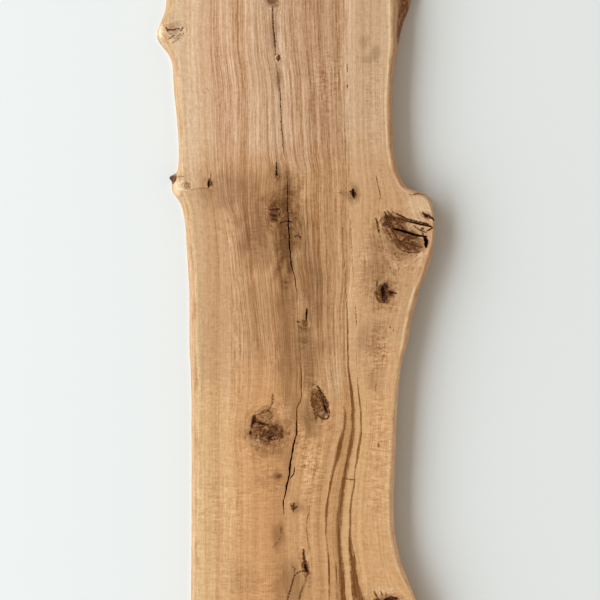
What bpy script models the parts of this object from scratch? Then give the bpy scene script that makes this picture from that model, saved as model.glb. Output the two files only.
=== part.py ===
"""Oak slab board: one sawn board with live edges, a chain of drying cracks and open knots.

It lies on its sawn back. X runs across the board, Y along the grain and Z out of the planed face.
"""

import math

import bmesh
import bpy
from mathutils import Matrix, Vector, noise

MM = 0.001
LENGTH = 1200 * MM
THICKNESS = 45 * MM
HALF_WIDTH = 210 * MM

STEP_ALONG = 12 * MM
FINE_STEP = 4 * MM
KNOTTY_STRETCHES = ((52 * MM, 208 * MM), (352 * MM, 448 * MM))
SIDE_LEVELS = (0.0, 0.03, 0.07, 0.12, 0.19, 0.28, 0.42, 0.6, 0.8, 1.0)
ARRIS_WEAR = 0.8 * MM
EDGE_ROUNDING = 6.5
RIPPLE = 1.1 * MM
RIPPLE_LENGTH = 38 * MM

# Lines along the board in millimetres, each point (along, across), from the foot end to the head end.
LEFT_ARRIS = (
    (-600, -147), (-450, -146), (-290, -145), (-150, -144), (-62, -147), (-16, -148), (30, -149), (60, -151),
    (93, -155), (132, -157), (147, -161), (162, -167), (172, -170), (186, -169), (225, -168), (290, -171),
    (318, -174), (349, -175), (370, -181), (384, -186), (400, -193), (418, -192), (433, -187), (450, -183),
    (480, -184), (540, -183), (600, -186),
)
LEFT_OUTLINE = (
    (-600, -161), (-450, -159), (-290, -158), (-150, -158), (-62, -161), (-16, -161), (30, -162), (60, -164),
    (93, -166), (114, -167), (130, -170), (141, -173), (151, -178), (158, -183), (164, -187), (173, -188),
    (180, -187), (190, -181), (197, -178), (225, -177), (285, -181), (325, -185), (349, -186), (368, -191),
    (382, -201), (390, -207), (398, -211), (403, -211), (410, -208), (416, -205), (424, -202), (434, -198),
    (450, -196), (480, -194), (540, -192), (600, -196),
)
RIGHT_ARRIS = (
    (-600, 180), (-510, 186), (-470, 182), (-450, 176), (-420, 158), (-398, 148), (-372, 141), (-344, 137),
    (-303, 135), (-230, 139), (-165, 143), (-120, 148), (-76, 155), (-30, 164), (8, 174), (30, 183),
    (49, 190), (72, 197), (90, 202), (110, 204), (130, 202), (143, 198), (151, 192), (156, 182),
    (160, 168), (167, 157), (189, 145), (213, 139), (255, 135), (300, 134), (368, 139), (405, 140),
    (450, 139), (520, 141), (600, 139),
)
RIGHT_OUTLINE = (
    (-600, 190), (-510, 196), (-470, 189), (-450, 181), (-416, 167), (-392, 158), (-367, 152), (-335, 148),
    (-303, 147), (-261, 149), (-220, 151), (-178, 152), (-120, 156), (-90, 161), (-72, 167), (-52, 172),
    (-33, 175), (-8, 181), (15, 187), (38, 196), (58, 203), (82, 208), (98, 209), (111, 211), (132, 207),
    (145, 206), (154, 202), (160, 196), (163, 187), (166, 173), (172, 165), (181, 160), (196, 153),
    (228, 148), (285, 146), (340, 147), (368, 152), (387, 153), (450, 154), (520, 154), (600, 152),
)
# How far the bark collar of a lost branch stands out below the right edge near the head end.
COLLAR_REACH = (
    (-600, 0), (370, 0), (388, 2), (405, 5), (421, 9), (435, 15), (450, 19), (472, 23), (505, 15),
    (540, 0), (600, 0),
)
COLLAR_TOP, COLLAR_FULL = 0.22, 0.58

# Drying cracks and knot fissures: name, widest gap, depth, and the line as (along, across) points.
FISSURES = (
    ("head_check", 1.5, 7, ((446, -35), (432, -35), (400, -33), (369, -31), (352, -28), (321, -24),
                            (270, -22), (219, -18))),
    ("middle_check", 2.6, 14, ((192, -12), (150, -13), (111, -11), (63, -8), (46, -5), (30, -1), (1, 2))),
    ("short_check", 1.4, 5, ((204, -29), (188, -29))),
    ("upper_foot_check", 1.8, 8, ((-74, 6), (-115, 9), (-139, 7.5), (-179, 9))),
    ("foot_check", 3.4, 16, ((-158, 0), (-195, 1.5), (-209, -1.5), (-237, -7), (-264, -10.5), (-286, -15),
                             (-303, -18.5), (-326, -18))),
    ("check_spur", 1.4, 5, ((-252, -1), (-262, -6), (-271, -12))),
    ("shake_slit", 2.2, 6, ((-12, 16), (-30, 16))),
    ("knot_split", 4.4, 14, ((109, 146), (104, 160), (99, 176), (95, 190), (94, 200))),
    ("knot_split_end", 4.2, 12, ((96, 196), (88, 197), (78, 194))),
    ("upper_knot_split", 2.2, 8, ((122, 158), (113, 182), (108, 199))),
)

# Open knots: name, centre (along, across), length along, width across, turn in degrees, depth.
HOLLOWS = (
    ("left_knot_arm", -189, -65, 22, 8, 8, 7),
    ("left_knot_heart", -204, -38, 17, 15, 20, 9),
    ("left_knot_bridge", -200, -52, 7, 18, -25, 5),
    ("right_knot_eye", -147, 40, 30, 9, -14, 6),
    ("star_knot", 13, 131, 22, 16, 20, 9),
    ("star_knot_arm", 11, 146, 7, 16, 12, 6),
    ("edge_pin_knot", 177, -129, 11, 5, 10, 4),
    ("bump_knot", 118, 195, 7, 12, -20, 6),
    ("foot_pin_knot", -399, 14, 16, 7, -15, 5),
    ("foot_edge_knot", -452, 136, 14, 26, 12, 8),
)
STUB_PLACE = (184 * MM, -184 * MM)
STUB_SIZE = (17 * MM, 8 * MM, 10 * MM)
STUB_DROP = 20 * MM


def smooth_line(line, along):
    """Reads the across value, in metres, of a line through (along, across) points that never overshoots."""
    marks = [point[0] * MM for point in line]
    values = [point[1] * MM for point in line]
    rises = [(values[i + 1] - values[i]) / (marks[i + 1] - marks[i]) for i in range(len(line) - 1)]
    slopes = [rises[0]]
    for before, after in zip(rises, rises[1:]):
        agree = before * after > 0
        slopes.append(2 * before * after / (before + after) if agree else 0.0)
    slopes.append(rises[-1])
    i = 0
    while i < len(line) - 2 and along > marks[i + 1]:
        i += 1
    gap = marks[i + 1] - marks[i]
    u = min(max((along - marks[i]) / gap, 0.0), 1.0)
    return (
        values[i] * (1 + 2 * u) * (1 - u) ** 2
        + slopes[i] * gap * u * (1 - u) ** 2
        + values[i + 1] * u * u * (3 - 2 * u)
        + slopes[i + 1] * gap * u * u * (u - 1)
    )


def fade(low, high, value):
    u = min(max((value - low) / (high - low), 0.0), 1.0)
    return u * u * (3 - 2 * u)


def stations():
    """Places along the board where its section is drawn, closer together where an edge turns sharply."""
    places = [-LENGTH / 2]
    while places[-1] < LENGTH / 2 - 1e-6:
        here = places[-1]
        fine = any(low <= here < high for low, high in KNOTTY_STRETCHES)
        places.append(min(here + (FINE_STEP if fine else STEP_ALONG), LENGTH / 2))
    return places


def side_profile(arris, outline, along, side, collar):
    """One live edge from the planed face down to the sawn back, as (across, height) pairs."""
    inner = smooth_line(arris, along)
    outer = smooth_line(outline, along)
    profile = []
    for level in SIDE_LEVELS:
        spread = 1 - (1 - level) ** EDGE_ROUNDING
        across = inner + (outer - inner) * spread
        if 0 < level < 1:
            across += side * ARRIS_WEAR * (1 - level)
            place = Vector((along / RIPPLE_LENGTH, level * 1.6, side * 7.0))
            across -= side * RIPPLE * abs(noise.noise(place)) * math.sin(math.pi * level)
        across += side * collar * fade(COLLAR_TOP, COLLAR_FULL, level)
        across = max(-HALF_WIDTH, min(HALF_WIDTH, across))
        profile.append((across, THICKNESS * (1 - level)))
    return profile


def section(along):
    """The board's closed cross-section at one place, counter-clockwise as seen from the foot end."""
    collar = smooth_line(COLLAR_REACH, along)
    right = side_profile(RIGHT_ARRIS, RIGHT_OUTLINE, along, 1, collar)
    left = side_profile(LEFT_ARRIS, LEFT_OUTLINE, along, -1, 0.0)
    ring = right[::-1] + left
    return [Vector((across, along, height)) for across, height in ring]


def loft(rings):
    """A closed solid through rings of equal point count, with flat ends."""
    bm = bmesh.new()
    rows = [[bm.verts.new(point) for point in ring] for ring in rings]
    count = len(rows[0])
    for near, far in zip(rows, rows[1:]):
        for i in range(count):
            j = (i + 1) % count
            bm.faces.new((near[i], near[j], far[j], far[i]))
    bm.faces.new(rows[0][::-1])
    bm.faces.new(rows[-1])
    bmesh.ops.recalc_face_normals(bm, faces=bm.faces)
    return bm


def make_object(name, bm, collection):
    mesh = bpy.data.meshes.new(name)
    bm.to_mesh(mesh)
    bm.free()
    item = bpy.data.objects.new(name, mesh)
    collection.objects.link(item)
    return item


def fissure(name, widest, depth, line, collection):
    """A wedge that runs along a crack: widest in its middle stretch, thin and shallow at both ends."""
    points = [Vector((across * MM, along * MM, THICKNESS)) for along, across in line]
    rings = []
    for i, point in enumerate(points):
        ahead = points[min(i + 1, len(points) - 1)] - points[max(i - 1, 0)]
        aside = Vector((-ahead.y, ahead.x, 0)).normalized()
        share = i / (len(points) - 1)
        swell = 0.22 + 0.78 * math.sin(math.pi * share) ** 0.6
        half = widest * MM * swell / 2
        down = depth * MM * (0.3 + 0.7 * math.sin(math.pi * share))
        rings.append([
            point - aside * half * 1.08 + Vector((0, 0, 0.6 * MM)),
            point + aside * half * 1.08 + Vector((0, 0, 0.6 * MM)),
            point + aside * half * 0.3 - Vector((0, 0, down)),
            point - aside * half * 0.3 - Vector((0, 0, down)),
        ])
    return make_object(name, loft(rings), collection)


def hollow(name, along, across, length, width, turn, depth, collection):
    """A ragged bowl that opens a knot in the planed face."""
    bm = bmesh.new()
    bmesh.ops.create_icosphere(bm, subdivisions=2, radius=1.0)
    for vert in bm.verts:
        ragged = noise.noise(vert.co * 1.7 + Vector((along, across, depth)) * 0.37)
        vert.co *= 1 + 0.34 * ragged
    shape = (
        Matrix.Translation((across * MM, along * MM, THICKNESS))
        @ Matrix.Rotation(math.radians(turn), 4, "Z")
        @ Matrix.Diagonal((width * MM / 2, length * MM / 2, depth * MM, 1))
    )
    bmesh.ops.transform(bm, matrix=shape, verts=bm.verts)
    return make_object(name, bm, collection)


def bark_stub(collection):
    """A scrap of bark left in the crook of the left edge."""
    bm = bmesh.new()
    bmesh.ops.create_icosphere(bm, subdivisions=2, radius=0.5)
    for vert in bm.verts:
        vert.co *= 1 + 0.5 * noise.noise(vert.co * 3.1)
    along, across = STUB_PLACE
    shape = Matrix.Translation((across, along, THICKNESS - STUB_DROP)) @ Matrix.Diagonal((*STUB_SIZE, 1))
    bmesh.ops.transform(bm, matrix=shape, verts=bm.verts)
    return make_object("bark_stub", bm, collection)


def combine(board, operation, collection, name):
    boolean = board.modifiers.new(name, "BOOLEAN")
    boolean.operation = operation
    boolean.operand_type = "COLLECTION"
    boolean.collection = collection
    boolean.solver = "EXACT"


def oak_material():
    material = bpy.data.materials.new("oak")
    material.use_nodes = True
    shader = material.node_tree.nodes["Principled BSDF"]
    shader.inputs["Base Color"].default_value = (0.56, 0.35, 0.18, 1)
    shader.inputs["Roughness"].default_value = 0.55
    shader.inputs["Metallic"].default_value = 0.0
    return material


def new_collection(name):
    collection = bpy.data.collections.new(name)
    bpy.context.scene.collection.children.link(collection)
    return collection


def main():
    for item in list(bpy.data.objects):
        bpy.data.objects.remove(item, do_unlink=True)
    board_parts = new_collection("oak_slab_board")
    openings = new_collection("cracks_and_knots")
    leftovers = new_collection("bark_left_on")
    board = make_object("slab", loft([section(along) for along in stations()]), board_parts)
    board.data.materials.append(oak_material())
    for crack in FISSURES:
        fissure(*crack, openings)
    for knot in HOLLOWS:
        hollow(*knot, openings)
    bark_stub(leftovers)
    combine(board, "UNION", leftovers, "Bark stub")
    combine(board, "DIFFERENCE", openings, "Cracks and knots")
    for cutter in list(openings.objects) + list(leftovers.objects):
        cutter.hide_render = True
        cutter.display_type = "WIRE"
    board.data.shade_smooth()
    board.data.set_sharp_from_angle(angle=math.radians(35))


main()
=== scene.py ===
"""Oak slab board: the planed face with its figure, knots and checks, the debarked edges and the sawn back."""
import math
from collections import namedtuple

import bmesh
import bpy
import numpy as np
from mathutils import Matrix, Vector, noise
from mathutils.bvhtree import BVHTree


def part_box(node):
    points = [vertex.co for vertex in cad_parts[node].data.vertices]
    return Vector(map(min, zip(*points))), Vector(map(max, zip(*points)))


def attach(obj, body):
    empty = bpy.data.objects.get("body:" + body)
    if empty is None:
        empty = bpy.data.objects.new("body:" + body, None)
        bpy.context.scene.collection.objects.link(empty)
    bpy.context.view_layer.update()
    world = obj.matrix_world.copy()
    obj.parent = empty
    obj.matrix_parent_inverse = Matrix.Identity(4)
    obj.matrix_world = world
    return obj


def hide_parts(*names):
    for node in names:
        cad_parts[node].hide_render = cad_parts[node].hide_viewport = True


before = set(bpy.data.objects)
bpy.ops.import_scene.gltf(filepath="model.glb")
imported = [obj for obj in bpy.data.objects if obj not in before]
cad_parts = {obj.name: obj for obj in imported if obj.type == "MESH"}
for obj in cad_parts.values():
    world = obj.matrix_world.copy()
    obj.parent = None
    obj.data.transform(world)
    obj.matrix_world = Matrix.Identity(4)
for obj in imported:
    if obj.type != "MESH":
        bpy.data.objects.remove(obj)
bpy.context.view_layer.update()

MM = 0.001
low, high = (Vector(corner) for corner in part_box("slab"))
FACE = high.z
FOOT, HEAD = low.y, high.y
HAIR = 0.02 * MM

# Mesh density: rows along the board, columns across it, levels down the edges, finer cells near the marks.
ROW_STEP = 4.4 * MM
CLOSE_ROW_STEP = 2.6 * MM
CLOSE_STRETCHES = ((50 * MM, 210 * MM), (350 * MM, 450 * MM))
COLUMNS_LEFT = 27
STREAK_BAND = (-28 * MM, 27 * MM)
COLUMNS_BEFORE_BAND, COLUMNS_IN_BAND, COLUMNS_AFTER_BAND = 8, 30, 13
BY_ARRIS = (0.0, 1.4 * MM, 3.4 * MM)
CHECK_COLUMNS = (0.5, 0.85, 1.0, 1.25)
BY_CHECK = (3 * MM, 5 * MM, 8 * MM)
CHECK_REACH = 12 * MM
BACK_COLUMNS = 8
SIDE_LEVELS = (0.0, 0.012, 0.035, 0.07, 0.11, 0.16, 0.23, 0.32, 0.44, 0.58, 0.72, 0.86, 1.0)
# The planing leaves the edges' shoulders nearly flat down to this depth.
SHOULDER = 11 * MM
END_CELL = 6 * MM
PATCH_REACH = 1.1
PATCH_MARGIN = 2.0
PATCH_CUTS = 3
SPOT_STEP = 3

# The pith runs under the face along this line, and the main check opens over it: (along, across) in mm.
PITH_LINE = (
    (-600, -17), (-400, -17), (-326, -18), (-303, -18.5), (-286, -15), (-264, -10.5), (-237, -7),
    (-209, -1.5), (-195, 1.5), (-166, 1), (-157, 4), (-150, 7.5), (-115, 8.5), (-74, 6), (1, 2), (30, -1),
    (46, -5), (63, -8), (111, -11), (150, -13), (192, -12), (219, -18), (270, -22), (321, -24), (352, -28),
    (369, -31), (400, -33), (432, -35), (446, -35), (600, -40),
)
PITH_HEIGHT = 14
# The straight line through the pith's two ends: its slope, and its across place at the board's middle.
PITH_DRIFT, PITH_MIDDLE = -0.019, -28
# Stretches of the main check in mm, foot to head: from, to, widest gap, depth.
CHECKS = (
    (-322, -159, 2.7, 15),
    (-180, -96, 1.2, 6),
    (1, 186, 1.8, 13),
    (219, 318, 0.75, 2.5),
    (366, 442, 1.1, 3),
)
# Other cracks: widest gap, depth, then along and across for each of their points, all in mm.
FISSURES = (
    (1.3, 5, 206, -29, 188, -29), (1.3, 5, -252, -2, -261, -3, -268, -9), (2, 6, -14, 16.3, -30, 15.8),
    (3.6, 14, 107, 146, 103, 162, 97, 181, 95, 197), (5, 12, 96, 193, 88, 196, 79, 195),
    (1.9, 8, 118, 168, 113, 189, 109, 205),
)
# Open hollows in the knots: centre (along, across), length, width, turn in degrees, depth, all in mm.
HOLLOWS = (
    (-182, -64, 9, 3.4, -10, 4), (-199, -68, 5, 2.6, -8, 3), (-206, -38, 4, 7, 10, 3),
    (-186, -50, 2.2, 13, 3, 3), (-163, 44.5, 16, 3.6, 22, 4), (13, 131.5, 17, 7, 8, 6),
    (11, 144, 4, 8, 12, 4), (175, -130.5, 11, 4, 6, 4), (126, 196, 5, 9, -28, 4), (160.5, 86, 11, 4, 7, 5),
    (-402, 15, 16, 4, 14, 5), (-454, 138, 14, 26, 12, 8),
)

Knot = namedtuple("Knot", "along across length width turn wood halo push")
# wood is how brown the knot is, halo how far its stain spreads, push how far the grain swings round it.
KNOTS = [Knot(*numbers) for numbers in (
    (-201, -42, 36, 58, 8, 0.95, 1.4, 0.25), (-186, -58, 32, 22, 0, 0.6, 1.3, 0.15),
    (-171, -46, 26, 36, 20, 0.42, 1.4, 0.25), (-155, 35.5, 58, 26, 21, 0.95, 1, 0.45),
    (9, 132, 36, 32, 10, 0.85, 1.2, 0.35), (89, 163, 36, 66, -22, 0.85, 0.8, 0.25),
    (115, 147, 32, 48, -14, 0.95, 1, 0.25), (127, 194, 13, 22, -28, 0.7, 1, 0.2),
    (68, 158, 34, 50, -10, 0.36, 1.2, 0.2), (402, -184, 18, 30, 10, 0.3, 1.6, 0.3),
    (171, -165, 14, 18, 0, 0.4, 1.6, 0.3), (176, -130, 15, 8, 0, 0.8, 1.6, 0.5),
    (160, 86, 15, 10, 0, 0.9, 1.7, 0.6), (130, -31, 34, 24, 0, 0.9, 1.6, 0.3),
    (188, -29, 18, 12, 0, 0.6, 1.6, 0.3), (363, -26, 10, 8, 0, 0.8, 1.9, 0.5),
    (450, -36, 20, 20, 0, 0.5, 1.8, 0.5), (-33, 12, 16, 12, 0, 0.7, 1.9, 0.4),
    (-264, -26, 8, 10, 0, 0.7, 1.9, 0.4), (-311, -3, 10, 10, 0, 0.9, 2, 0.5),
    (-400, 14, 38, 13, 10, 0.85, 1.6, 0.4), (-456, 138, 26, 44, 6, 0.9, 1.4, 0.5),
)]

# Soft patches, each with its centre (along, across), length and width in mm, and its strength.
# First brown stains in the wood.
STAINS = (
    (162, -88, 80, 130, 0.36), (108, -58, 150, 70, 0.5), (-20, -52, 130, 70, 0.16),
    (-80, -12, 170, 40, 0.4), (80, 124, 70, 40, 0.35), (-160, -6, 80, 40, 0.3), (140, -30, 60, 44, 0.6),
    (108, -15, 216, 52, 0.88), (60, 14, 210, 44, 0.4), (15, 26, 160, 46, 0.5), (-4, -14, 90, 46, 0.4),
    (150, -50, 26, 16, 0.45), (193, -29, 34, 26, 0.4), (-52, 10, 62, 26, 0.6), (-78, 20, 90, 56, 0.45),
    (-198, -44, 84, 84, 0.5), (-222, -40, 40, 64, 0.5), (-175, 22, 76, 36, 0.55), (-110, 20, 90, 32, 0.5),
    (92, 152, 66, 78, 0.4), (44, 124, 130, 56, 0.42), (10, 132, 52, 50, 0.45), (160, 86, 34, 30, 0.5),
    (163, -136, 30, 34, 0.3), (386, 104, 30, 20, 0.28), (370, 120, 26, 22, 0.34), (362, 108, 18, 30, 0.26),
    (334, -26, 46, 14, 0.5), (404, -33, 70, 16, 0.4), (448, -36, 26, 30, 0.4), (404, -180, 30, 30, 0.3),
    (-60, 112, 70, 50, 0.3), (-118, 118, 50, 30, 0.25), (-240, -12, 140, 16, 0.22), (-312, 6, 26, 32, 0.4),
    (-264, -28, 18, 26, 0.45), (-352, -26, 50, 24, 0.4), (-428, -6, 100, 60, 0.42), (-432, 6, 70, 24, 0.4),
    (-455, 138, 40, 62, 0.45), (-420, -80, 60, 60, 0.2), (-268, -50, 40, 40, 0.2),
)
# Then pale spots: clear wood, callus at the edge knots, a painted highlight on one of them, and the bright rims
# of knots.
PALES = (
    # The first spot on the next line, on the nub at the left edge near the head end, is pale callus and also a
    # painted highlight where the nub faces the lamp.
    (402, -203, 26, 14, 0.75), (396, -182, 10, 10, 0.3), (170, -178, 30, 15, 0.75), (-170, 38, 10, 9, 0.3),
    (-175, 45, 6, 5, 0.35), (141, 187, 40, 50, 0.5), (120, 184, 6, 34, 0.4), (-212, -60, 10, 26, 0.15),
    (-164, -13, 30, 16, 0.18), (-436, 130, 12, 40, 0.4), (64, 188, 18, 10, 0.35), (113, 168, 10, 24, 0.14),
    (108, 188, 10, 28, 0.16), (-112, 57, 80, 30, 0.3),
)
# And where the grain is curly and shows as short ripples across the board.
CURLS = (
    (40, 125, 170, 80, 0.9), (-70, 122, 110, 52, 1), (-205, 14, 60, 60, 0.9), (-250, 22, 130, 44, 1),
    (-225, -50, 50, 70, 0.8), (-160, -18, 50, 30, 0.6), (110, -12, 210, 66, 1), (10, 22, 90, 44, 0.6),
    (-230, 125, 240, 44, 0.5), (-310, -110, 120, 120, 0.3), (-270, -40, 70, 60, 0.6),
    (-430, -60, 100, 130, 0.35), (300, 117, 220, 36, 0.35), (330, 45, 110, 50, 0.7),
    (110, -85, 60, 90, 0.4),
)
# Lines that the grain follows, each (along, across) in mm, after the across place where that grain is counted.
STREAK_LINE = (
    (-600, 72), (-450, 70.5), (-420, 69), (-397, 67.5), (-375, 65.3), (-352, 63.5), (-330, 64.5),
    (-307, 67), (-288, 69.5), (-270, 72), (-252, 76), (-232, 79.5), (-217, 82.5), (-192, 85.5),
    (-165, 85.5), (-142, 84), (-120, 81), (-105, 79), (-78, 78), (-30, 77.3), (60, 84), (158, 82),
    (255, 79), (600, 76),
)
GRAIN_GUIDES = (
    (-190, (
        (-600, -190), (60, -193), (190, -205), (450, -215), (600, -217),
    )),
    (-138, (
        (-600, -118), (-100, -116), (60, -116), (90, -118), (127, -122), (157, -126), (195, -132),
        (240, -135), (300, -138), (360, -141), (405, -144), (450, -140), (600, -140),
    )),
    (-117, (
        (-600, -84), (-200, -82), (-100, -80), (-52, -80), (-7, -84), (37, -90), (90, -96), (127, -101),
        (150, -110), (232, -116), (307, -117), (390, -124), (600, -124),
    )),
    (-68, (
        (-600, -56), (-300, -56), (-200, -62), (-100, -50), (0, -60), (90, -68), (150, -72), (307, -68),
        (390, -77), (600, -78),
    )),
    (0, PITH_LINE),
    (85, STREAK_LINE),
    (150, (
        (-600, 176), (-470, 172), (-420, 152), (-372, 140), (-303, 135), (-150, 142), (-50, 156), (15, 168),
        (80, 172), (150, 158), (220, 140), (300, 136), (450, 138), (600, 140),
    )),
)
# Dark mineral streaks: (along, across, width) points in mm.
STREAKS = (
    (
        (-600, 72, 8), (-450, 70.5, 9), (-420, 69, 8), (-375, 65.3, 6.4), (-352, 63.5, 6.6),
        (-330, 64.5, 7.4), (-307, 67, 7), (-270, 72, 6), (-232, 79.5, 6.4), (-217, 82.5, 7.2),
        (-192, 85.5, 6.4), (-165, 85.5, 5.4), (-142, 84, 5), (-120, 81, 4), (-105, 79, 3.4), (-78, 78, 2.8),
        (-30, 77.3, 2.2), (10, 75, 1.6), (60, 72, 1.2), (110, 70, 0.6),
    ),
    (
        (-600, 50, 1.4), (-450, 50, 2), (-390, 49, 2.6), (-367, 46.5, 2), (-345, 45, 2.4), (-322, 45, 4.4),
        (-307, 46.5, 3.8), (-288, 50, 2.6), (-273, 52.5, 3.4), (-258, 55.5, 4), (-243, 60, 5.2),
        (-232, 63, 7.6), (-217, 66, 7.4), (-202, 70, 5), (-187, 73, 3.8), (-172, 73.5, 3.4),
        (-156, 71.5, 1),
    ),
    (
        (-600, 100, 11), (-450, 96, 13.5), (-435, 91.5, 11), (-412, 88.5, 9), (-393, 85.5, 9),
        (-375, 82.5, 6), (-352, 81, 3.4), (-322, 81, 3.4), (-300, 83, 2.6), (-277, 87, 2.4),
        (-255, 88.5, 2), (-240, 91.5, 2.8), (-225, 93.5, 3.6), (-210, 96, 3.8), (-195, 97.5, 3.2),
        (-172, 97.5, 2.4), (-150, 95, 2.2), (-125, 92, 1),
    ),
    (
        (-600, 92, 2), (-460, 87, 2.6), (-442, 85.5, 3), (-420, 84, 3.2), (-400, 82.5, 2.2),
        (-390, 81.5, 0.8),
    ),
    (
        (-600, 62, 1.2), (-450, 61.5, 1.6), (-400, 60, 1.4), (-380, 59.5, 0.6),
    ),
)
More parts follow.
